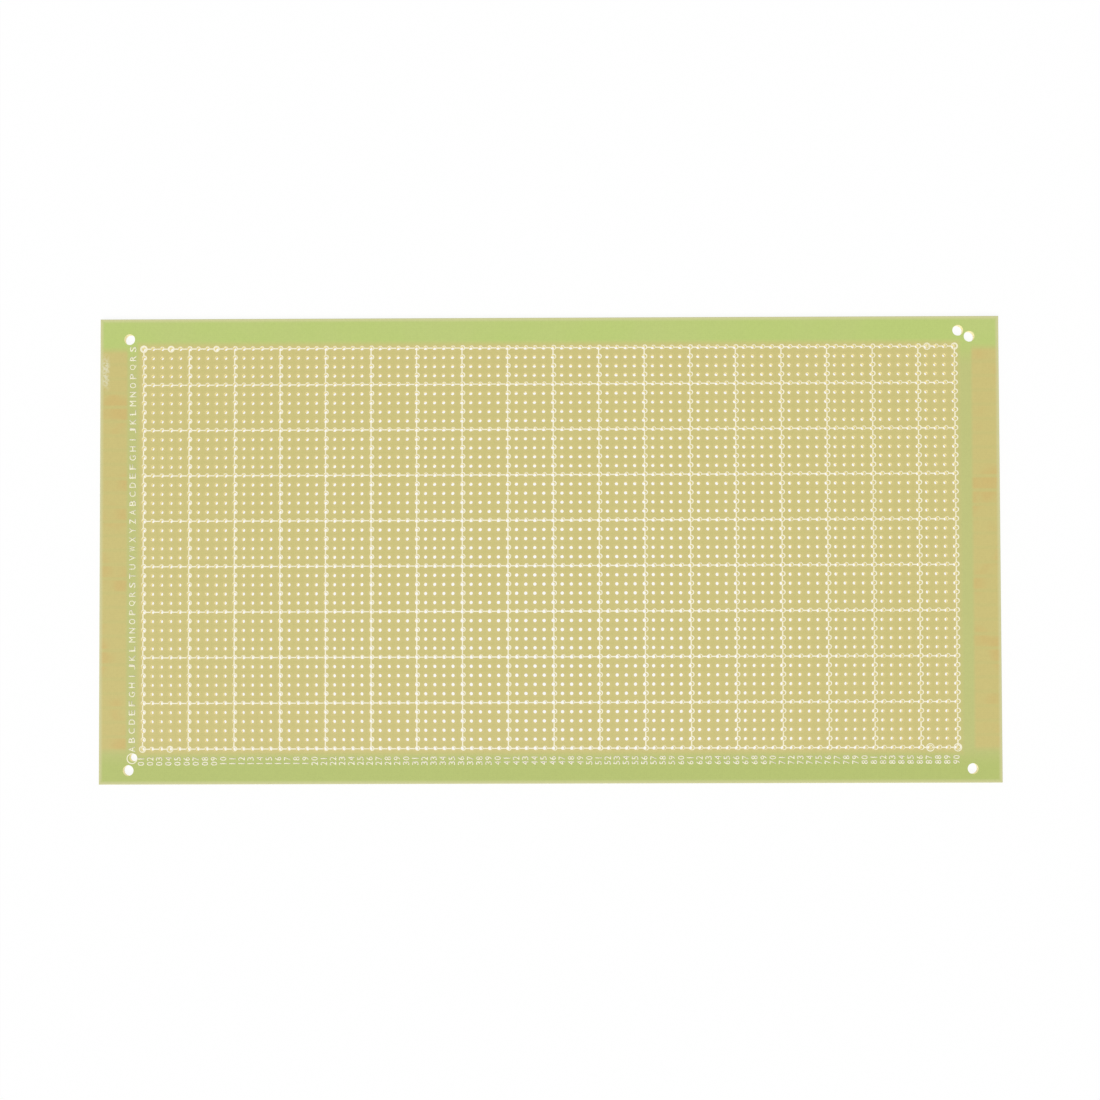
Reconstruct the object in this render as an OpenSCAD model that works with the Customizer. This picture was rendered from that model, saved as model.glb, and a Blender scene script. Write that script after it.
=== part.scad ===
/* [Board] */
// Length of the board, left to right
board_l = 251; // [200:0.5:300]
// Width of the board, front to back
board_w = 130; // [100:0.5:150]
// Thickness of the board with its resist coat
board_t = 1.6; // [0.8:0.1:3.2]
// Thickness of the resist coat on the solder side
resist_t = 0.04; // [0.04:0.01:0.1]

/* [Hole grid] */
// Distance between neighbouring holes
pitch = 2.54; // [2.5:0.01:5.08]
// Diameter of a component hole
hole_d = 1; // [0.6:0.1:1.3]
// Least room from an end of the board to the first column of holes
end_room = 12; // [11:0.5:30]
// Least room from the front or rear edge to the first row of holes
edge_room = 8.5; // [8:0.5:30]
// How far the grid sits to the right of the board's middle
grid_dx = -0.25; // [-0.5:0.05:0.5]
// How far the grid sits behind the board's middle
grid_dy = 0.65; // [-0.7:0.05:0.7]

/* [Print] */
// Holes from one printed line to the next
line_step = 5; // [3:1:10]
// Width of a printed line
line_w = 0.2; // [0.1:0.05:0.4]
// Height of the ink above the board
ink_t = 0.02; // [0.01:0.01:0.05]
// Width of the shallow bed that a printed line lies in
bed_w = 1.4; // [1.4:0.05:1.6]
// Depth of the bed under a column line
col_bed_t = 0.03; // [0.03:0.01:0.05]
// Depth of the bed under a row line
row_bed_t = 0.02; // [0.01:0.01:0.02]
// Outer diameter of a ring that marks a counted hole
mark_d = 2.2; // [1.8:0.1:2.5]
// Width of the line that draws a marking ring
mark_line_w = 0.25; // [0.15:0.05:0.3]

/* [Solder side] */
// Width of the resist bar between two blocks of pads
bar_w = 0.34; // [0.2:0.02:0.5]
// Distance between neighbouring fingers
finger_pitch = 4; // [3.6:0.05:6]
// Width of a finger
finger_w = 3; // [1:0.1:3.2]
// Length of a finger
finger_l = 7.1; // [4:0.1:7.1]
// Distance from the end of the board to the fingers
finger_set = 0.4; // [0.3:0.1:1]
// Least room from the front or rear edge to the row of fingers
finger_room = 8.5; // [8.5:0.5:40]
// How far the fingers' middle sits behind the board's middle
finger_dy = 0.3; // [-0.5:0.1:0.5]
// Thickness of the copper
copper_t = 0.035; // [0.018:0.001:0.04]
// Resist kept clear round the row of fingers
finger_gap = 0.2; // [0.1:0.05:0.3]

/* [Fixing holes] */
// Diameter of a fixing hole
fix_d = 3; // [2:0.1:3.2]
// Distance from the board's end to the middle of a fixing hole
fix_end = 8.2; // [7.8:0.1:8.5]
// Distance from the front edge to the middle of a front fixing hole
fix_front = 3.9; // [3:0.1:4.5]
// Distance from the rear edge to the middle of a rear fixing hole
fix_rear = 5.7; // [4.5:0.1:5.8]
// Diameter of the locating hole beside the left front fixing hole
pin_d = 2.2; // [1.5:0.1:2.3]
// Place of that locating hole from the fixing hole, to the right
pin_dx = 1.4; // [1.2:0.1:1.6]
// Place of that locating hole from the fixing hole, to the back
pin_dy = 3.6; // [3.4:0.1:3.8]
// Diameter of the ring printed round the locating hole
pin_mark_d = 3; // [2.9:0.1:3.2]
// Place of the spare fixing hole from the right rear one, to the left
spare_dx = 3.15; // [3.1:0.05:3.4]
// Place of the spare fixing hole from the right rear one, to the back
spare_dy = 1.7; // [1.5:0.1:1.9]

/* [Hidden] */

// As many columns, rows and fingers as the board has room for
cols = floor((board_l - 2 * end_room) / pitch) + 1;
rows = floor((board_w - 2 * edge_room) / pitch) + 1;
fingers = floor((board_w - 2 * finger_room) / finger_pitch);

// Indices of the columns and rows that carry a printed line
marked_cols = concat([for (c = [0 : line_step : cols - 2]) c], [cols - 1]);
marked_rows = concat([for (r = [0 : line_step : rows - 2]) r], [rows - 1]);

// Columns and rows whose crossings have a marking ring
ring_cols = [0, 3, cols - 4, cols - 1];
ring_rows = [0, rows - 1];

// Length and width of the drilled field, up to the outer edge of its outer beds
bed_l = (cols - 1) * pitch + bed_w;
bed_b = (rows - 1) * pitch + bed_w;

// Place of the fingers' middle from the board's middle, and the length of their row
finger_x = board_l / 2 - finger_set - finger_l / 2;
finger_row = (fingers - 1) * finger_pitch + finger_w;

// Places of the left and right columns and the front and rear rows of fixing holes
fix_left = fix_end - board_l / 2;
fix_right = board_l / 2 - fix_end;
fix_low = fix_front - board_w / 2;
fix_high = board_w / 2 - fix_rear;

function col_x(c) = grid_dx + (c - (cols - 1) / 2) * pitch;
function row_y(r) = grid_dy + (r - (rows - 1) / 2) * pitch;

// A flat shape as a layer from one height to another
module layer(from, to) {
  translate([0, 0, from]) linear_extrude(height = to - from) children();
}

// A rectangle between two corners
module patch(x0, y0, x1, y1) {
  translate([x0, y0]) square([x1 - x0, y1 - y0]);
}

// The holes from column c0 to c1 and from row r0 to r1
module holes(c0, c1, r0, r1) {
  for (c = [c0 : 1 : c1], r = [r0 : 1 : r1])
    translate([col_x(c), row_y(r)]) circle(d = hole_d, $fn = 24);
}

// The four fixing holes, the spare one and the locating hole
module fixings() {
  for (x = [fix_left, fix_right], y = [fix_low, fix_high])
    translate([x, y]) circle(d = fix_d, $fn = 48);
  translate([fix_right - spare_dx, fix_high + spare_dy]) circle(d = fix_d, $fn = 48);
  pin_place() circle(d = pin_d, $fn = 48);
}

module pin_place() {
  translate([fix_left + pin_dx, fix_low + pin_dy]) children();
}

module ring(outer, line) {
  difference() {
    circle(d = outer, $fn = 48);
    circle(d = outer - 2 * line, $fn = 48);
  }
}

// The undrilled border round the hole grid, with the round holes
module border() {
  layer(resist_t, board_t)
    difference() {
      square([board_l, board_w], center = true);
      translate([grid_dx, grid_dy]) square([bed_l, bed_b], center = true);
      fixings();
    }
}

// The raised blocks between the printed lines
module blocks() {
  for (i = [0 : len(marked_cols) - 2], j = [0 : len(marked_rows) - 2])
    layer(resist_t, board_t)
      difference() {
        patch(col_x(marked_cols[i]) + bed_w / 2, row_y(marked_rows[j]) + bed_w / 2,
              col_x(marked_cols[i + 1]) - bed_w / 2, row_y(marked_rows[j + 1]) - bed_w / 2);
        holes(marked_cols[i] + 1, marked_cols[i + 1] - 1, marked_rows[j] + 1, marked_rows[j + 1] - 1);
      }
}

// The drilled strips that the column lines are printed on
module col_beds() {
  for (c = marked_cols)
    layer(resist_t, board_t - col_bed_t)
      difference() {
        translate([col_x(c), grid_dy]) square([bed_w, bed_b], center = true);
        holes(c, c, 0, rows - 1);
      }
}

// The drilled strips between them that the row lines are printed on
module row_beds() {
  for (i = [0 : len(marked_cols) - 2], r = marked_rows)
    layer(resist_t, board_t - row_bed_t)
      difference() {
        patch(col_x(marked_cols[i]) + bed_w / 2, row_y(r) - bed_w / 2,
              col_x(marked_cols[i + 1]) - bed_w / 2, row_y(r) + bed_w / 2);
        holes(marked_cols[i] + 1, marked_cols[i + 1] - 1, r, r);
      }
}

// The opening in the resist for the pads from column c0 to c1 and from row r0 to r1
module opening(c0, c1, r0, r1) {
  patch(col_x(c0 - 0.5) + bar_w / 2, row_y(r0 - 0.5) + bar_w / 2,
        col_x(c1 + 0.5) - bar_w / 2, row_y(r1 + 0.5) - bar_w / 2);
}

// The resist coat, open over the fingers and over each block of pads
module resist() {
  layer(0, resist_t)
    difference() {
      square([board_l, board_w], center = true);
      for (c = [0 : line_step : cols - 1], r = [0 : line_step : rows - 1])
        opening(c, min(c + line_step, cols) - 1, r, min(r + line_step, rows) - 1);
      for (side = [-1, 1])
        translate([side * finger_x, finger_dy])
          square([finger_l + 2 * finger_gap, finger_row + 2 * finger_gap], center = true);
      fixings();
    }
}

module laminate() {
  color("#c6c47c") {
    border();
    blocks();
    col_beds();
    row_beds();
    resist();
  }
}

// White ink: the counting lines in their beds and the rings round counted holes
module grid_print() {
  color("#f4f2df") {
    for (c = marked_cols)
      layer(board_t - col_bed_t, board_t + ink_t)
        translate([col_x(c), grid_dy]) square([line_w, bed_b - bed_w + line_w], center = true);
    for (r = marked_rows)
      layer(board_t - row_bed_t, board_t + ink_t)
        translate([grid_dx, row_y(r)]) square([bed_l - bed_w + line_w, line_w], center = true);
    for (c = ring_cols, r = ring_rows)
      layer(board_t, board_t + ink_t)
        translate([col_x(c), row_y(r)]) ring(mark_d, mark_line_w);
    layer(board_t, board_t + ink_t) pin_place() ring(pin_mark_d, mark_line_w);
  }
}

// One row of contact fingers on the solder side, flush in the opening of the resist
module finger_strip(side) {
  color("#c98f5a")
    for (i = [0 : fingers - 1])
      translate([side * finger_x, finger_dy + (i - (fingers - 1) / 2) * finger_pitch])
        layer(resist_t - copper_t, resist_t)
          square([finger_l, finger_w], center = true);
}

module left_fingers() {
  finger_strip(-1);
}

module right_fingers() {
  finger_strip(1);
}

laminate();
grid_print();
left_fingers();
right_fingers();
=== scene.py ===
import bmesh
import bpy
import math
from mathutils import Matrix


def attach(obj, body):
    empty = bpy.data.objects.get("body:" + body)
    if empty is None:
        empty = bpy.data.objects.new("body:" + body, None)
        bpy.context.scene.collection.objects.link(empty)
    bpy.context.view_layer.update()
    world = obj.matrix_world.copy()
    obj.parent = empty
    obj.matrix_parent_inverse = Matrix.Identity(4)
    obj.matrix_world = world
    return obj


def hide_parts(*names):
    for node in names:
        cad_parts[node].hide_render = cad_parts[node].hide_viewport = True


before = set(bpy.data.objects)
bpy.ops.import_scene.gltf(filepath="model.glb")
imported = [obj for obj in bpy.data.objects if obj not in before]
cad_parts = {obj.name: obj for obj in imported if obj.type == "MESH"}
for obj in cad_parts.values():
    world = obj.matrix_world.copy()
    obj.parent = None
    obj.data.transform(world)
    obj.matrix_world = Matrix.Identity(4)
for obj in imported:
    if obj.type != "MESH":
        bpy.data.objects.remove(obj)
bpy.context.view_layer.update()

mm = 0.001
weld = 1e-6  # metres, within which corners of one mesh become one
hair = 1e-7  # metres, within which two places are the same

# The board lies flat with its printed side up, and every size below is in millimetres
board = {"length": 251, "width": 130, "thickness": 1.6, "resist": 0.04, "edge": 0.12, "smoothUnder": 40,
         "rimDepth": 0.5}
grid = {"columns": 90, "rows": 45, "pitch": 2.54, "hole": 1.0, "holeSides": 10, "dx": -0.25, "dy": 0.65,
        "step": 5}
fixing = {"diameter": 3.0, "end": 117.3, "front": -61.1, "rear": 59.3, "spare": (114.15, 61.0),
          "locating": (-115.9, -57.5), "locatingDiameter": 2.2, "sides": 40}
lastColumn, lastRow = grid["columns"] - 1, grid["rows"] - 1


def columnX(c):
    return grid["dx"] + (c - lastColumn / 2) * grid["pitch"]


def rowY(r):
    return grid["dy"] + (r - lastRow / 2) * grid["pitch"]


def roundHoles():
    # place and radius of the four fixing holes, the spare one and the locating hole
    corners = [(x, y) for x in (-fixing["end"], fixing["end"]) for y in (fixing["front"], fixing["rear"])]
    holes = [(x, y, fixing["diameter"] / 2) for x, y in corners + [fixing["spare"]]]
    return holes + [(*fixing["locating"], fixing["locatingDiameter"] / 2)]


def only(*objects):
    # nothing else selected, the first one active
    bpy.ops.object.select_all(action="DESELECT")
    for thing in objects:
        thing.select_set(True)
    bpy.context.view_layer.objects.active = objects[0]


def openPiece(piece, kind="EDGE"):
    # in edit mode, alone, with edges or faces to select
    only(piece)
    bpy.ops.object.mode_set(mode="EDIT")
    bpy.ops.mesh.select_mode(type=kind)


def startPiece(name):
    # an empty mesh at the origin, open in edit mode
    bpy.ops.mesh.primitive_plane_add(size=1, location=(0, 0, 0))
    piece = bpy.context.object
    piece.name = piece.data.name = name
    openPiece(piece)
    bpy.ops.mesh.select_all(action="SELECT")
    bpy.ops.mesh.delete(type="VERT")
    return piece


def endPiece(piece, merge=True):
    # doubles merged, faces outward, back in object mode
    bpy.ops.mesh.select_all(action="SELECT")
    if merge:
        bpy.ops.mesh.remove_doubles(threshold=weld)
    bpy.ops.mesh.normals_make_consistent(inside=False)
    bpy.ops.object.mode_set(mode="OBJECT")
    return piece


def pick(piece, kind, test):
    # in edit mode, selects only the verts, edges or faces that pass the test
    bpy.ops.mesh.select_all(action="DESELECT")
    shape = bmesh.from_edit_mesh(piece.data)
    for item in getattr(shape, kind):
        if test(item):
            item.select_set(True)
    bmesh.update_edit_mesh(piece.data)


def openAt(height):
    # an edge at that height with a side still open
    return lambda e: len(e.link_faces) < 2 and all(abs(v.co.z - height) < hair for v in e.verts)


def around(x, y, radius):
    # an edge within that radius of an upright axis
    return lambda e: all(math.hypot(v.co.x - x, v.co.y - y) < radius for v in e.verts)


def addRectangle(x0, y0, x1, y1, z):
    # its outline alone, added in edit mode
    middle = ((x0 + x1) / 2, (y0 + y1) / 2, z)
    bpy.ops.mesh.primitive_plane_add(size=1, location=middle)
    bpy.ops.transform.resize(value=(x1 - x0, y1 - y0, 1), center_override=middle)
    bpy.ops.mesh.delete(type="ONLY_FACE")


def addCircle(x, y, z, radius, sides):
    bpy.ops.mesh.primitive_circle_add(vertices=sides, radius=radius, location=(x, y, z))


def fillAll():
    # a flat face in every outline
    bpy.ops.mesh.select_all(action="SELECT")
    bpy.ops.mesh.fill(use_beauty=True)


def raiseAll(height):
    # all faces pulled up, or down, into a plate
    bpy.ops.mesh.select_all(action="SELECT")
    bpy.ops.mesh.extrude_region_move(TRANSFORM_OT_translate={"value": (0, 0, height)})


def addRing(outer, inner, z, height):
    # outer and inner circle as x, y, radius and sides, bridged into a flat ring and raised
    for x, y, radius, sides in (outer, inner):
        addCircle(x, y, z, radius, sides)
    bpy.ops.mesh.select_all(action="SELECT")
    bpy.ops.mesh.bridge_edge_loops()
    raiseAll(height)


def copyPiece(piece, name, move=(0, 0, 0)):
    only(piece)
    bpy.ops.object.duplicate()
    twin = bpy.context.object
    twin.name = twin.data.name = name
    twin.location = move
    bpy.ops.object.transform_apply(location=True, rotation=False, scale=False)
    return twin


def joinPieces(parts, name):
    only(*parts)
    if len(parts) > 1:
        bpy.ops.object.join()
    piece = bpy.context.object
    piece.name = piece.data.name = name
    return piece


def repeat(piece, count, step):
    # copies in a row that share the edges they meet in
    only(piece)
    row = piece.modifiers.new("row", "ARRAY")
    row.count = count
    row.use_relative_offset = False
    row.use_constant_offset = True
    row.constant_offset_displace = step
    row.use_merge_vertices = True
    row.merge_threshold = weld
    bpy.ops.object.modifier_apply(modifier=row.name)


def cutWith(piece, tool, operation):
    only(piece)
    cut = piece.modifiers.new("cut", "BOOLEAN")
    cut.operation = operation
    cut.solver = "EXACT"
    cut.object = tool
    bpy.ops.object.modifier_apply(modifier=cut.name)


def dropPiece(piece):
    bpy.data.meshes.remove(piece.data)


def linear(hexCode):
    parts = [int(hexCode[i:i + 2], 16) / 255 for i in (1, 3, 5)]
    return tuple(p / 12.92 if p <= 0.04045 else ((p + 0.055) / 1.055) ** 2.4 for p in parts) + (1,)


soft = {"interpolation_type": "SMOOTHSTEP"}  # MapRange from 0 at its second input to 1 at its third
tones = {"data_type": "RGBA"}  # Mix takes colours at 6 and 7 and gives one at 2


def addNode(tree, kind, sockets=(), **properties):
    # sockets are given in order or by key: a value is set, another node's output is linked
    node = tree.nodes.new("ShaderNode" + kind)
    for key, value in properties.items():
        setattr(node, key, value)
    for key, value in sockets.items() if isinstance(sockets, dict) else enumerate(sockets):
        if isinstance(value, bpy.types.NodeSocket):
            tree.links.new(value, node.inputs[key])
        else:
            node.inputs[key].default_value = value
    return node.outputs


def newMaterial(name):
    material = bpy.data.materials.new(name)
    material.use_nodes = True
    material.node_tree.nodes.clear()
    return material, material.node_tree


def millimetres(tree):
    # object coordinates in millimetres
    place = addNode(tree, "TexCoord")["Object"]
    return addNode(tree, "Mapping", {"Vector": place, "Scale": (1 / mm, 1 / mm, 1 / mm)})[0]


def fromLine(tree, value, line):
    # how far a point is from a line, on either side
    off = addNode(tree, "Math", [value, line], operation="SUBTRACT")[0]
    return addNode(tree, "Math", [off], operation="ABSOLUTE")[0]


def pastSides(tree, place, middle, sides):
    # how far a point is past the nearest side of a rectangle, negative inside
    past = [addNode(tree, "Math", [fromLine(tree, value, line), side / 2], operation="SUBTRACT")[0]
            for value, line, side in zip(place, middle, sides)]
    return addNode(tree, "Math", past, operation="MAXIMUM")[0]


def product(tree, factors):
    # of several masks
    result = factors[0]
    for factor in factors[1:]:
        result = addNode(tree, "Math", [result, factor], operation="MULTIPLY")[0]
    return result


# each pair of numbers gives where a tone starts and where it is full, in millimetres from its own line
laminateLook = {
    "rear": "#BDCF75", "rearCloud": "#BFCE79", "side": "#C3C67C", "front": "#B8C46F",
    "sideFade": (59, 50), "frontFade": (-54, -61),
    "pad": "#D4C782", "betweenPads": "#D0C57D", "padRadius": 0.95, "padFade": (0.14, -0.04),
    "fieldFade": (1.3, -1.0),
    "finger": "#CFC279", "fingerWarm": "#D1BA72", "betweenFingers": "#CCC279",
    "fingerInner": (117.3, 118.5), "fingerOuter": (125.7, 124.6), "fingerRow": (57.2, 54.6),
    "fingerFade": (0.04, 0.2), "fingerY": 0.3, "fingerPitch": 4,
    "rim": "#D8D4A0", "rimFade": (-1.3, -0.1), "rimShare": 0.8,
    "scuff": "#E2DFBC", "scuffAt": (-124.0, 50.0), "scuffFades": ((1.5, 0.2), (6.0, 1.5)),
    "scuffGrain": (0.36, 0.58), "scuffShare": 0.9,
    "thread": 0.57,
}


def padSpots(tree, whole):
    # 1 on each pad and 0 between pads, from the distance to the middle of a hole, in pitches
    pitch = grid["pitch"]
    shift = (0.5 - columnX(0) / pitch, 0.5 - rowY(0) / pitch, 0.5)
    cell = {"Vector": whole, "Location": shift, "Scale": (1 / pitch, 1 / pitch, 0)}
    cell = addNode(tree, "Mapping", cell)[0]
    inCell =addNode(tree, "VectorMath", [cell], operation="FRACTION")[0]
    fromHole = addNode(tree, "VectorMath", [inCell, (0.5, 0.5, 0.5)], operation="SUBTRACT")[0]
    reach = addNode(tree, "VectorMath", [fromHole], operation="LENGTH")[1]
    start, stop = (laminateLook["padRadius"] / pitch + fade for fade in laminateLook["padFade"])
    return addNode(tree, "MapRange", [reach, start, stop], **soft)[0]


def fingerRows(tree, x, y):
    # 1 over the two rows of fingers, with soft ends
    look = laminateLook
    fromMiddle = fromLine(tree, x, 0)
    alongRow = fromLine(tree, y, look["fingerY"])
    ends = ((fromMiddle, "fingerInner"), (fromMiddle, "fingerOuter"), (alongRow, "fingerRow"))
    return product(tree, [addNode(tree, "MapRange", [value, *look[fade]], **soft)[0]
                          for value, fade in ends])


def fingerStripes(tree, y):
    # 1 on each finger and 0 in the gap between two
    pitch = laminateLook["fingerPitch"]
    count = [y, 1 / pitch, 40.5 - laminateLook["fingerY"] / pitch]  # 40 keeps it positive
    count = addNode(tree, "Math", count, operation="MULTIPLY_ADD")[0]
    part = addNode(tree, "Math", [count], operation="FRACT")[0]
    return addNode(tree, "MapRange", [fromLine(tree, part, 0.5), *laminateLook["fingerFade"]], **soft)[0]


def scuffPatch(tree, place, grain):
    # 1 where the left end is scuffed
    look = laminateLook
    masks = [addNode(tree, "MapRange", [fromLine(tree, value, line), *fade], **soft)[0]
             for value, line, fade in zip(place, look["scuffAt"], look["scuffFades"])]
    return product(tree, masks + [addNode(tree, "MapRange", [grain, *look["scuffGrain"]], **soft)[0]])


def glassEpoxyPressed():
    # pressed glass-epoxy laminate: a satin, slightly cloudy green yellow with the copper of the other side
    # showing through it as a tan tint, and the glass cloth as a faint weave
    look = laminateLook
    material, tree = newMaterial("glassEpoxyPressed")
    whole = millimetres(tree)
    x, y = addNode(tree, "SeparateXYZ", [whole])[:2]
    # cloudy resin, about 25 mm from patch to patch, a finer grain, and warmer patches of copper
    cloud = addNode(tree, "TexNoise", {"Vector": whole, "Scale": 0.04, "Detail": 3.0, "Roughness": 0.55})[0]
    grain = addNode(tree, "TexNoise", {"Vector": whole, "Scale": 1.6, "Detail": 2.0, "Roughness": 0.6})[0]
    patches = addNode(tree, "TexNoise", {"Vector": whole, "Scale": 0.09, "Detail": 2.0})[0]
    # glass cloth, threads 0.57 mm apart both ways
    cloth = {"Vector": whole, "Scale": 0.3142 / look["thread"], "Distortion": 0.4, "Detail": 1.0,
             "Detail Scale": 0.2}
    threads = [addNode(tree, "TexWave", cloth, bands_direction=way)[1] for way in ("X", "Y")]
    weave = addNode(tree, "Math", threads, operation="MAXIMUM")[0]
    # the copper's tint in the drilled field and on the fingers
    tan = addNode(tree, "Mix", {0: padSpots(tree, whole), 6: linear(look["betweenPads"]),
                                7: linear(look["pad"])}, **tones)[2]
    warmth = addNode(tree, "MapRange", [patches, 0.5, 0.68], **soft)[0]
    finger = addNode(tree, "Mix", {0: warmth, 6: linear(look["finger"]), 7: linear(look["fingerWarm"])},
                     **tones)[2]
    fingers = addNode(tree, "Mix", {0: fingerStripes(tree, y), 6: linear(look["betweenFingers"]), 7: finger},
                      **tones)[2]
    # each layer lies over the ones before it: the resin's own tones, the tints, the pale cut rim, the scuff
    middle, size = (grid["dx"], grid["dy"]), (grid["columns"] * grid["pitch"], grid["rows"] * grid["pitch"])
    inField = pastSides(tree, (x, y), middle, size)
    onRim = pastSides(tree, (x, y), (0, 0), (board["length"], board["width"]))
    rim = addNode(tree, "MapRange", [onRim, *look["rimFade"]], **soft)[0]
    scuff = scuffPatch(tree, (x, y), grain)
    colour = linear(look["rear"])
    for mask, tone in (
            (addNode(tree, "MapRange", [cloud, 0.35, 0.65], **soft)[0], linear(look["rearCloud"])),
            (addNode(tree, "MapRange", [y, *look["sideFade"]], **soft)[0], linear(look["side"])),
            (addNode(tree, "MapRange", [y, *look["frontFade"]], **soft)[0], linear(look["front"])),
            (addNode(tree, "MapRange", [inField, *look["fieldFade"]], **soft)[0], tan),
            (fingerRows(tree, x, y), fingers),
            (product(tree, [rim, look["rimShare"]]), linear(look["rim"])),
            (product(tree, [scuff, look["scuffShare"]]), linear(look["scuff"]))):
        colour = addNode(tree, "Mix", {0: mask, 6: colour, 7: tone}, **tones)[2]
    # grain and cloth shade it by a few hundredths
    speck = addNode(tree, "MapRange", [grain, 0.3, 0.7], **soft)[0]
    shade = product(tree, [addNode(tree, "Math", [value, depth, 1 - depth], operation="MULTIPLY_ADD")[0]
                           for value, depth in ((speck, 0.035), (weave, 0.02))])
    colour = addNode(tree, "VectorMath", {0: colour, "Scale": shade}, operation="SCALE")[0]
    relief = addNode(tree, "Math", [grain, 0.5, weave], operation="MULTIPLY_ADD")[0]
    bump = addNode(tree, "Bump", {"Height": relief, "Strength": 0.25, "Distance": 0.00002})[0]
    milk = addNode(tree, "MapRange", [cloud, 0.3, 0.7], **soft)[0]
    rough = addNode(tree, "Math", [milk, 0.08, 0.42], operation="MULTIPLY_ADD")[0]
    shader = addNode(tree, "BsdfPrincipled", {"Base Color": colour, "Roughness": rough, "Normal": bump,
                                              "IOR": 1.55, "Specular IOR Level": 0.4})[0]
    addNode(tree, "OutputMaterial", [shader])
    return material


def glassFibreDrilled():
    # cut ends of glass fibre inside a drilled hole: pale and rough. The resin carries light into the bore, so
    # that a bore never looks black, and a faint glow of the laminate's own colour stands for that light
    material, tree = newMaterial("glassFibreDrilled")
    fibre = addNode(tree, "TexNoise", {"Vector": millimetres(tree), "Scale": 9.0, "Detail": 2.0})[0]
    share = addNode(tree, "MapRange", [fibre, 0.3, 0.7], **soft)[0]
    colour = addNode(tree, "Mix", {0: share, 6: linear("#E2DCB4"), 7: linear("#D6CFA4")}, **tones)[2]
    shader = addNode(tree, "BsdfPrincipled", {"Base Color": colour, "Roughness": 0.7, "IOR": 1.55,
                                              "Specular IOR Level": 0.2, "Emission Color": linear("#EDE3B4"),
                                              "Emission Strength": 0.3})[0]
    addNode(tree, "OutputMaterial", [shader])
    return material


def solderResistCured():
    # cured green solder resist, screened on: a glossy green with a slight orange peel
    material, tree = newMaterial("solderResistCured")
    whole = millimetres(tree)
    cloud = addNode(tree, "TexNoise", {"Vector": whole, "Scale": 0.06, "Detail": 2.0})[0]
    peel = addNode(tree, "TexNoise", {"Vector": whole, "Scale": 2.2, "Detail": 2.0})[0]
    share = addNode(tree, "MapRange", [cloud, 0.3, 0.7], **soft)[0]
    colour = addNode(tree, "Mix", {0: share, 6: linear("#6E8B3C"), 7: linear("#7B9746")}, **tones)[2]
    bump = addNode(tree, "Bump", {"Height": peel, "Strength": 0.2, "Distance": 0.00003})[0]
    shader = addNode(tree, "BsdfPrincipled", {"Base Color": colour, "Normal": bump, "Roughness": 0.28,
                                              "IOR": 1.52})[0]
    addNode(tree, "OutputMaterial", [shader])
    return material


def copperRolled(name, bright, dull):
    # rolled copper foil: warm metal, its shine broken by handling and a little tarnish
    material, tree = newMaterial(name)
    whole = millimetres(tree)
    tarnish = addNode(tree, "TexNoise", {"Vector": whole, "Scale": 0.12, "Detail": 4.0, "Roughness": 0.6})[0]
    rolling = addNode(tree, "Mapping", {"Vector": whole, "Scale": (0.4, 6, 1)})[0]
    lines = addNode(tree, "TexNoise", {"Vector": rolling, "Scale": 1.0, "Detail": 2.0})[0]
    share = addNode(tree, "MapRange", [tarnish, 0.38, 0.68], **soft)[0]
    colour = addNode(tree, "Mix", {0: share, 6: linear(bright), 7: linear(dull)}, **tones)[2]
    worn = addNode(tree, "MapRange", [tarnish, 0.3, 0.7], **soft)[0]
    rough = addNode(tree, "Math", [worn, 0.18, 0.26], operation="MULTIPLY_ADD")[0]
    bump = addNode(tree, "Bump", {"Height": lines, "Strength": 0.15, "Distance": 0.00002})[0]
    shader = addNode(tree, "BsdfPrincipled", {"Base Color": colour, "Roughness": rough, "Normal": bump,
                                              "Metallic": 1.0})[0]
    addNode(tree, "OutputMaterial", [shader])
    return material


def legendInkScreened():
    # white epoxy ink, screen printed: matt, a little thin in places, so the laminate warms it
    material, tree = newMaterial("legendInkScreened")
    whole = millimetres(tree)
    patch = addNode(tree, "TexNoise", {"Vector": whole, "Scale": 0.5, "Detail": 3.0})[0]
    grain = addNode(tree, "TexNoise", {"Vector": whole, "Scale": 5.0, "Detail": 2.0})[0]
    share = addNode(tree, "MapRange", [patch, 0.35, 0.7], **soft)[0]
    colour = addNode(tree, "Mix", {0: share, 6: linear("#FCF6DC"), 7: linear("#F4EDCC")}, **tones)[2]
    bump = addNode(tree, "Bump", {"Height": grain, "Strength": 0.3, "Distance": 0.00001})[0]
    shader = addNode(tree, "BsdfPrincipled", {"Base Color": colour, "Normal": bump, "Roughness": 0.6,
                                              "IOR": 1.5})[0]
    addNode(tree, "OutputMaterial", [shader])
    return material


def seenPlainly(tree):
    # 1 for what the camera, mirrors and glass see, 0 for light that falls on the board
    ray = addNode(tree, "LightPath")
    mirrored = [ray["Is Glossy Ray"], ray["Is Transmission Ray"]]
    mirrored = addNode(tree, "Math", mirrored, operation="MAXIMUM")[0]
    return addNode(tree, "Math", [ray["Is Camera Ray"], mirrored], operation="MAXIMUM")[0]


floorLook = {"size": 6, "card": "#F0F0F0", "glow": 1.02, "glowShare": 0.88}  # size in metres


def floorCard():
    # white card that is seen as plain white and still keeps a trace of shadow
    material, tree = newMaterial("floorCard")
    card = addNode(tree, "BsdfDiffuse", {"Color": linear(floorLook["card"])})[0]
    glow = addNode(tree, "Emission", {"Color": linear("#FFFFFF"), "Strength": floorLook["glow"]})[0]
    share = product(tree, [seenPlainly(tree), floorLook["glowShare"]])
    addNode(tree, "OutputMaterial", [addNode(tree, "MixShader", [share, card, glow])[0]])
    return material


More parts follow.
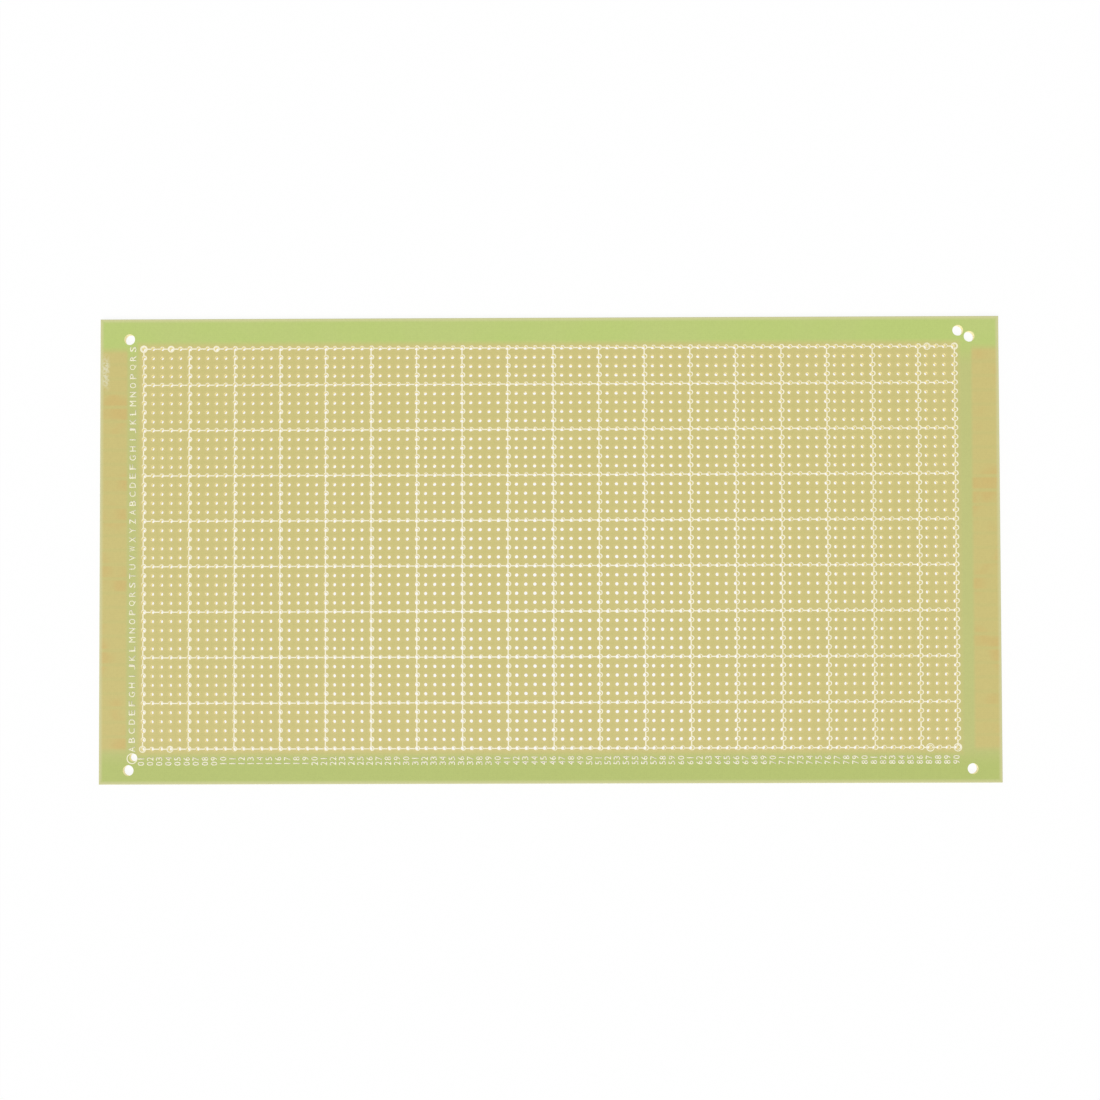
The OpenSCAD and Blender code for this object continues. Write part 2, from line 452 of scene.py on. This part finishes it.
laminateMaterial = glassEpoxyPressed()
boreMaterial = glassFibreDrilled()
resistMaterial = solderResistCured()
padMaterial = copperRolled("copperFoilLacquered", "#D8A06A", "#C08A58")
fingerMaterial = copperRolled("copperFingerGilt", "#DDB06C", "#C99A5A")
inkMaterial = legendInkScreened()


def dress(piece, material):
    piece.data.materials.clear()
    piece.data.materials.append(material)
    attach(piece, "root")
    return piece


print("materials made")

# place in millimetres, turn in degrees, the upward shift as a share of the photograph's 1100 pixels
viewpoint = {"place": (2.36, -28.34, 400), "turn": (1.2619, 0.3230, -0.1622), "lens": 46.866, "sensor": 36,
             "shiftY": 70 / 1100, "nearest": 10}

bpy.ops.object.camera_add(location=[v * mm for v in viewpoint["place"]],
                          rotation=[math.radians(v) for v in viewpoint["turn"]])
camera = bpy.context.object
camera.name = "photoCamera"
camera.data.lens = viewpoint["lens"]
camera.data.sensor_width = viewpoint["sensor"]
camera.data.shift_y = viewpoint["shiftY"]
camera.data.clip_start = viewpoint["nearest"] * mm
bpy.context.scene.camera = camera

light = {"sun": 1.35, "sunTurn": (34, -18, 0), "sunAngle": 28, "sky": 0.62}

bpy.ops.object.light_add(type="SUN", location=(0, 0, 1), rotation=[math.radians(v) for v in light["sunTurn"]])
sun = bpy.context.object
sun.name = "softKey"
sun.data.energy = light["sun"]
sun.data.angle = math.radians(light["sunAngle"])

world = bpy.data.worlds.new("paleRoom")
world.use_nodes = True
room = world.node_tree
room.nodes.clear()
# full white where it is seen, and less as light on the board
strength = addNode(room, "Math", [seenPlainly(room), 1 - light["sky"], light["sky"]],
                   operation="MULTIPLY_ADD")[0]
addNode(room, "OutputWorld", [addNode(room, "Background", [linear("#FFFFFF"), strength])[0]])
bpy.context.scene.world = world
bpy.context.scene.view_settings.view_transform = "Standard"

bpy.ops.mesh.primitive_plane_add(size=floorLook["size"], location=(0, 0, 0))
floor = bpy.context.object
floor.name = "floor"
floor.data.materials.append(floorCard())
print("camera, light and floor made")

slack = 0.05  # by which the search round a hole is wider than the hole


def drilledSquares():
    # one square of the grid with its bore, then the whole field
    top, low, step = board["thickness"] * mm, board["resist"] * mm, grid["pitch"] * mm
    x, y, radius = columnX(0) * mm, rowY(0) * mm, grid["hole"] / 2
    cell = startPiece("drilled_board")
    addRectangle(x - step / 2, y - step / 2, x + step / 2, y + step / 2, top)
    addCircle(x, y, top, radius * mm, grid["holeSides"])
    fillAll()
    bpy.ops.mesh.select_all(action="SELECT")
    bpy.ops.mesh.duplicate_move(TRANSFORM_OT_translate={"value": (0, 0, low - top)})
    pick(cell, "edges", around(x, y, (radius + slack) * mm))
    bpy.ops.mesh.bridge_edge_loops()
    endPiece(cell, merge=False)
    repeat(cell, grid["columns"], (step, 0, 0))
    repeat(cell, grid["rows"], (0, step, 0))
    return cell


def addBorder(piece, z, inset):
    # the flat border from the drilled field to the outline, with the round holes in it
    halfL, halfW = board["length"] / 2 * mm - inset, board["width"] / 2 * mm - inset
    addRectangle(-halfL, -halfW, halfL, halfW, z)
    for x, y, radius in roundHoles():
        addCircle(x * mm, y * mm, z, radius * mm, fixing["sides"])
    pick(piece, "edges", openAt(z))
    bpy.ops.mesh.fill(use_beauty=True)


def outlineAt(z, inset):
    # an edge whose ends are both corners of the board's outline at that height
    halfL, halfW = board["length"] / 2 * mm - inset, board["width"] / 2 * mm - inset
    return lambda e: all(max(abs(v.co.z - z), abs(abs(v.co.x) - halfL), abs(abs(v.co.y) - halfW)) < hair
                         for v in e.verts)


def buildBoard():
    top, low, edge = board["thickness"] * mm, board["resist"] * mm, board["edge"] * mm
    piece = drilledSquares()
    print("bores repeated")
    openPiece(piece)
    addBorder(piece, top, edge)
    addBorder(piece, low, 0)
    for x, y, radius in roundHoles():
        pick(piece, "edges", around(x * mm, y * mm, (radius + slack) * mm))
        bpy.ops.mesh.bridge_edge_loops()
    # a bevel round the printed side, then the rim below it
    addRectangle(*(side * size / 2 * mm for side in (-1, 1) for size in (board["length"], board["width"])),
                 top - edge)
    upper, middle, lower = outlineAt(top, edge), outlineAt(top - edge, 0), outlineAt(low, 0)
    for one, other in ((upper, middle), (middle, lower)):
        pick(piece, "edges", lambda e: one(e) or other(e))
        bpy.ops.mesh.bridge_edge_loops()
    endPiece(piece, merge=False)
    only(piece)
    bpy.ops.object.shade_smooth_by_angle(angle=math.radians(board["smoothUnder"]))
    return piece


def isBoreWall(face):
    # upright, and further in than the rim
    centre, depth = face.calc_center_median(), board["rimDepth"]
    return (abs(face.normal.z) < 0.1 and abs(centre.x) < (board["length"] / 2 - depth) * mm
            and abs(centre.y) < (board["width"] / 2 - depth) * mm)


drilledBoard = dress(buildBoard(), laminateMaterial)
# the walls of all holes show cut fibre
drilledBoard.data.materials.append(boreMaterial)
openPiece(drilledBoard, "FACE")
pick(drilledBoard, "faces", isBoreWall)
drilledBoard.active_material_index = 1
bpy.ops.object.material_slot_assign()
bpy.ops.object.mode_set(mode="OBJECT")
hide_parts("laminate")
print("drilled board made", len(drilledBoard.data.polygons))

solderSide = {"bar": 0.34, "gap": 0.2, "copper": 0.035,
              "fingerLength": 7.1, "fingerSet": 0.4, "fingerRow": 111, "fingerY": 0.3,
              "pad": 2.0, "padSides": 10, "padSplit": 45, "undercut": 0.965}


def buildResist():
    # a sheet with a window round each block of five by five pads and round each row of fingers
    use = solderSide
    sheet = startPiece("solder_resist")
    margin = grid["pitch"] / 2 - use["bar"] / 2
    last = grid["step"] - 1
    addRectangle((columnX(0) - margin) * mm, (rowY(0) - margin) * mm,
                 (columnX(last) + margin) * mm, (rowY(last) + margin) * mm, 0)
    block = grid["step"] * grid["pitch"] * mm
    for holes, move in ((grid["columns"], (block, 0, 0)), (grid["rows"], (0, block, 0))):
        bpy.ops.mesh.select_all(action="SELECT")
        for i in range(holes // grid["step"] - 1):
            bpy.ops.mesh.duplicate_move(TRANSFORM_OT_translate={"value": move})
    acrossHalf, alongHalf = use["fingerLength"] / 2 + use["gap"], use["fingerRow"] / 2 + use["gap"]
    for side in (-1, 1):
        x = side * (board["length"] / 2 - use["fingerSet"] - use["fingerLength"] / 2)
        addRectangle((x - acrossHalf) * mm, (use["fingerY"] - alongHalf) * mm,
                     (x + acrossHalf) * mm, (use["fingerY"] + alongHalf) * mm, 0)
    halfL, halfW = board["length"] / 2 * mm, board["width"] / 2 * mm
    addRectangle(-halfL, -halfW, halfL, halfW, 0)
    for x, y, radius in roundHoles():
        addCircle(x * mm, y * mm, 0, radius * mm, fixing["sides"])
    fillAll()
    raiseAll(board["resist"] * mm)
    return endPiece(sheet)


def buildPads(name, first, count):
    # one copper ring, then one for each hole of those columns
    use = solderSide
    low, top = (board["resist"] - use["copper"]) * mm, board["resist"] * mm
    x, y, outer, inner = columnX(first) * mm, rowY(0) * mm, use["pad"] / 2, grid["hole"] / 2
    pads = startPiece(name)
    addRing((x, y, outer * mm, use["padSides"]), (x, y, inner * mm, grid["holeSides"]), top, low - top)
    # the etched flank leans in by a hair
    pick(pads, "verts", lambda v: v.co.z < (low + top) / 2
         and math.hypot(v.co.x - x, v.co.y - y) > (outer + inner) / 2 * mm)
    bpy.ops.transform.resize(value=(use["undercut"], use["undercut"], 1), center_override=(x, y, low))
    endPiece(pads)
    repeat(pads, count, (grid["pitch"] * mm, 0, 0))
    repeat(pads, grid["rows"], (0, grid["pitch"] * mm, 0))
    return pads


dress(buildResist(), resistMaterial)
split = solderSide["padSplit"]
padHalves = (("solder_pads_left", 0, split), ("solder_pads_right", split, grid["columns"] - split))
for name, first, count in padHalves:
    dress(buildPads(name, first, count), padMaterial)
for name in ("left_fingers", "right_fingers"):
    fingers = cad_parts[name]
    fingers.data.materials.clear()
    fingers.data.materials.append(fingerMaterial)
print("solder side made")

# across and along say how far a ring's outer circle sits off its line
ink = {"line": 0.34, "height": 0.02, "ringSides": 16, "join": 0.06, "trim": 0.02,
       "ring": {"outer": 1.42, "inner": 0.96, "across": 0.2, "along": 0.08},
       "rowRing": {"outer": 1.2, "inner": 0.92, "across": 0.06, "along": 0.1},
       "leftShift": -0.03, "rightShift": 0.39, "rearShift": 0.04}


def inkX(c):
    # the print runs a little longer than the drilling
    return ink["leftShift"] + (ink["rightShift"] - ink["leftShift"]) * c / lastColumn


def counted(index, last):
    # every fifth column or row has a printed line, and so does the last
    return index % grid["step"] == 0 or index == last


def settle(piece, x=0, y=0):
    # from millimetres about the origin to its place on the board
    only(piece)
    piece.location = (x * mm, y * mm, board["thickness"] * mm)
    piece.scale = (mm, mm, mm)
    bpy.ops.object.transform_apply(location=True, rotation=False, scale=True)
    return piece


def buildStamp(name, ring, sides):
    # ring and stubs of line before drilling, made a thousand times too large so that thin ink cuts cleanly
    across, along, half = ring["across"], ring["along"], ink["line"] / 2
    stamp = startPiece(name)
    addRing((across, along, ring["outer"] / 2, ink["ringSides"]),
            (across / 2, along / 2, ring["inner"] / 2, ink["ringSides"]), 0, ink["height"])
    endPiece(stamp, merge=False)
    start, stop = ring["inner"] / 2 + ink["join"], grid["pitch"] / 2
    for sx, sy in sides:
        stub = startPiece("stub")
        x0, x1 = sorted((sx * start, sx * stop)) if sx else (-half, half)
        y0, y1 = sorted((sy * start, sy * stop)) if sy else (-half, half)
        addRectangle(x0, y0, x1, y1, 0)
        fillAll()
        raiseAll(ink["height"])
        endPiece(stub, merge=False)
        cutWith(stamp, stub, "UNION")
        dropPiece(stub)
    return stamp


def buildDrill(diameter, sides):
    # what a drill takes out of the print, at the same large scale
    drill = startPiece("drill")
    addCircle(0, 0, -0.5, diameter / 2, sides)
    fillAll()
    raiseAll(1)
    return endPiece(drill, merge=False)


def drilledStamp(stamp, drill, c, r):
    # the stamp off its hole as the print is, drilled, its ends open where the next one joins on
    cell = copyPiece(stamp, "cell", (inkX(c), ink["rearShift"], 0))
    cutWith(cell, drill, "DIFFERENCE")
    half = grid["pitch"] / 2 - hair / mm

    def isEnd(face):
        centre = face.calc_center_median()
        return max(abs(centre.x - inkX(c)), abs(centre.y - ink["rearShift"])) > half

    openPiece(cell, "FACE")
    pick(cell, "faces", isEnd)
    bpy.ops.mesh.delete(type="FACE")
    bpy.ops.object.mode_set(mode="OBJECT")
    return settle(cell, columnX(c), rowY(r))


def columnBetween(stamp, drill, c):
    # a column's line between its crossings: blocks of four holes, and one of three at the rear
    step = grid["pitch"] * mm
    blocks, left = divmod(lastRow, grid["step"])
    block = drilledStamp(stamp, drill, c, 1)
    repeat(block, grid["step"] - 1, (0, step, 0))
    repeat(block, blocks, (0, grid["step"] * step, 0))
    rear = drilledStamp(stamp, drill, c, blocks * grid["step"] + 1)
    repeat(rear, left - 1, (0, step, 0))
    return [block, rear]


def onEachLine(cells):
    # the front row's cells, copied to each row that has a printed line
    strip = joinPieces(cells, "strip")
    return [strip] + [copyPiece(strip, "strip", (0, r * grid["pitch"] * mm, 0))
                      for r in range(1, grid["rows"]) if counted(r, lastRow)]


def trimPrint(piece):
    # the lines stop at the outermost rings
    ring = ink["ring"]
    reach = ring["outer"] / 2 - ink["trim"]
    left, right = (columnX(c) + inkX(c) + ring["across"] for c in (0, lastColumn))
    front, rear = (rowY(r) + ink["rearShift"] + ring["along"] for r in (0, lastRow))
    openPiece(piece)
    for x, y, outward in ((left - reach, 0, (-1, 0, 0)), (right + reach, 0, (1, 0, 0)),
                          (0, front - reach, (0, -1, 0)), (0, rear + reach, (0, 1, 0))):
        bpy.ops.mesh.select_all(action="SELECT")
        bpy.ops.mesh.bisect(plane_co=(x * mm, y * mm, 0), plane_no=outward, use_fill=True, clear_outer=True,
                            threshold=hair)
    bpy.ops.object.mode_set(mode="OBJECT")


def buildPrint():
    # the counting lines with a ring at each hole, as column lines with the crossings, and row lines
    drill = buildDrill(grid["hole"], grid["holeSides"])
    stampAlong = buildStamp("stampAlong", ink["ring"], [(0, 1), (0, -1)])
    stampAcross = buildStamp("stampAcross", ink["rowRing"], [(1, 0), (-1, 0)])
    stampCross = buildStamp("stampCross", ink["ring"], [(1, 0), (-1, 0), (0, 1), (0, -1)])
    crossings, between, columns = [], [], []
    for c in range(grid["columns"]):
        if counted(c, lastColumn):
            crossings.append(drilledStamp(stampCross, drill, c, 0))
            columns += columnBetween(stampAlong, drill, c)
        else:
            between.append(drilledStamp(stampAcross, drill, c, 0))
    print("stamps drilled")
    for tool in (drill, stampAlong, stampAcross, stampCross):
        dropPiece(tool)
    rowPrint = joinPieces(onEachLine(between), "row_lines")
    columnPrint = joinPieces(columns + onEachLine(crossings), "column_lines")
    trimPrint(columnPrint)
    return columnPrint, rowPrint


columnLines, rowLines = buildPrint()
print("lines printed", len(columnLines.data.polygons), len(rowLines.data.polygons))
for piece in (columnLines, rowLines):
    dress(piece, inkMaterial)
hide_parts("grid_print")

# rings that mark counted holes: column, row, outer diameter, width of line
markRings = [(0, 0, 1.95, 0.26), (3, 0, 1.9, 0.26), (86, 0, 2.3, 0.24), (89, 0, 2.3, 0.24),
             (0, 44, 2.1, 0.5), (3, 44, 1.9, 0.45), (8, 44, 1.8, 0.4),
             (86, 44, 2.0, 0.24), (89, 44, 2.0, 0.26)]
# a marking ring's faces stay clear of the line's faces that it crosses
markShape = {"sides": 32, "clear": 0.001}
locatingRing = {"across": -0.33, "along": -0.28, "outer": 3.0, "line": 0.26, "sides": 40}


def drilledRing(place, outer, line, sides, clear, drill):
    # a printed ring off its hole, with what the drill takes out gone
    ring = startPiece("ring")
    addRing((*place, outer / 2, sides), (*place, outer / 2 - line, sides), clear, ink["height"] - 2 * clear)
    endPiece(ring, merge=False)
    cutWith(ring, drill, "DIFFERENCE")
    return ring


def buildRings():
    drill = buildDrill(grid["hole"], grid["holeSides"])
    rings = [settle(drilledRing((inkX(c), ink["rearShift"]), outer, line, markShape["sides"],
                                markShape["clear"], drill), columnX(c), rowY(r))
             for c, r, outer, line in markRings]
    dropPiece(drill)
    use = locatingRing
    drill = buildDrill(fixing["locatingDiameter"], fixing["sides"])
    ring = drilledRing((use["across"], use["along"]), use["outer"], use["line"], use["sides"], 0, drill)
    rings.append(settle(ring, *fixing["locating"]))
    dropPiece(drill)
    return joinPieces(rings, "marking_rings")


legend = {"letterHigh": 1.8, "letterWide": 1.5, "letterLeft": 3.0, "digitHigh": 1.85, "digitWide": 1.08,
          "digitGap": 0.26, "digitFront": 3.3, "digitAcross": -0.42, "heavier": 0.012, "curveSteps": 3,
          "weld": 0.0005}


def buildGlyph(sign, high, wide):
    # one sign of the legend, a quarter turn to the left, middle at the origin
    bpy.ops.object.text_add(location=(0, 0, 0))
    text = bpy.context.object
    text.data.body = sign
    text.data.size = 1
    # a heavier M or Q would close up on itself
    text.data.offset = 0 if sign in "MQ" else legend["heavier"]
    text.data.resolution_u = legend["curveSteps"]
    text.data.fill_mode = "FRONT"
    only(text)
    bpy.ops.object.convert(target="MESH")
    glyph = bpy.context.object
    glyph.name = "glyph" + sign
    across = [v.co.x for v in glyph.data.vertices]
    along = [v.co.y for v in glyph.data.vertices]
    tall = high / (max(along) - min(along))
    # an I or a 1 keeps its own narrow width
    stretch = tall if sign in "I1" else wide / (max(across) - min(across))
    glyph.scale = (stretch, tall, 1)
    glyph.location = (-(max(across) + min(across)) / 2 * stretch, -(max(along) + min(along)) / 2 * tall, 0)
    bpy.ops.object.transform_apply(location=True, rotation=False, scale=True)
    glyph.rotation_euler = (0, 0, math.radians(90))
    bpy.ops.object.transform_apply(location=False, rotation=True, scale=False)
    openPiece(glyph)
    bpy.ops.mesh.select_all(action="SELECT")
    bpy.ops.mesh.remove_doubles(threshold=legend["weld"])
    raiseAll(ink["height"])
    endPiece(glyph, merge=False)
    return settle(glyph)


def buildLetters():
    # A to Z and on from A again, one to a row, left of the field
    alphabet = "ABCDEFGHIJKLMNOPQRSTUVWXYZ"
    glyphs = [buildGlyph(sign, legend["letterHigh"], legend["letterWide"]) for sign in alphabet]
    x = columnX(0) + inkX(0) - legend["letterLeft"]
    letters = [copyPiece(glyphs[r % len(glyphs)], "letter", (x * mm, (rowY(r) + ink["rearShift"]) * mm, 0))
               for r in range(grid["rows"])]
    for glyph in glyphs:
        dropPiece(glyph)
    return joinPieces(letters, "row_letters")


def buildNumbers():
    # 01 to 90, two digits to a column, in front of the field
    glyphs = [buildGlyph(sign, legend["digitHigh"], legend["digitWide"]) for sign in "0123456789"]
    y, half = rowY(0) - legend["digitFront"], (legend["digitWide"] + legend["digitGap"]) / 2
    numbers = []
    for c in range(grid["columns"]):
        x = columnX(c) + inkX(c) + legend["digitAcross"]
        for digit, side in zip(divmod(c + 1, 10), (-1, 1)):
            numbers.append(copyPiece(glyphs[digit], "digit", (x * mm, (y + side * half) * mm, 0)))
    for glyph in glyphs:
        dropPiece(glyph)
    return joinPieces(numbers, "column_numbers")


for piece in (buildRings(), buildLetters(), buildNumbers()):
    dress(piece, inkMaterial)
print("rings, letters and numbers printed")
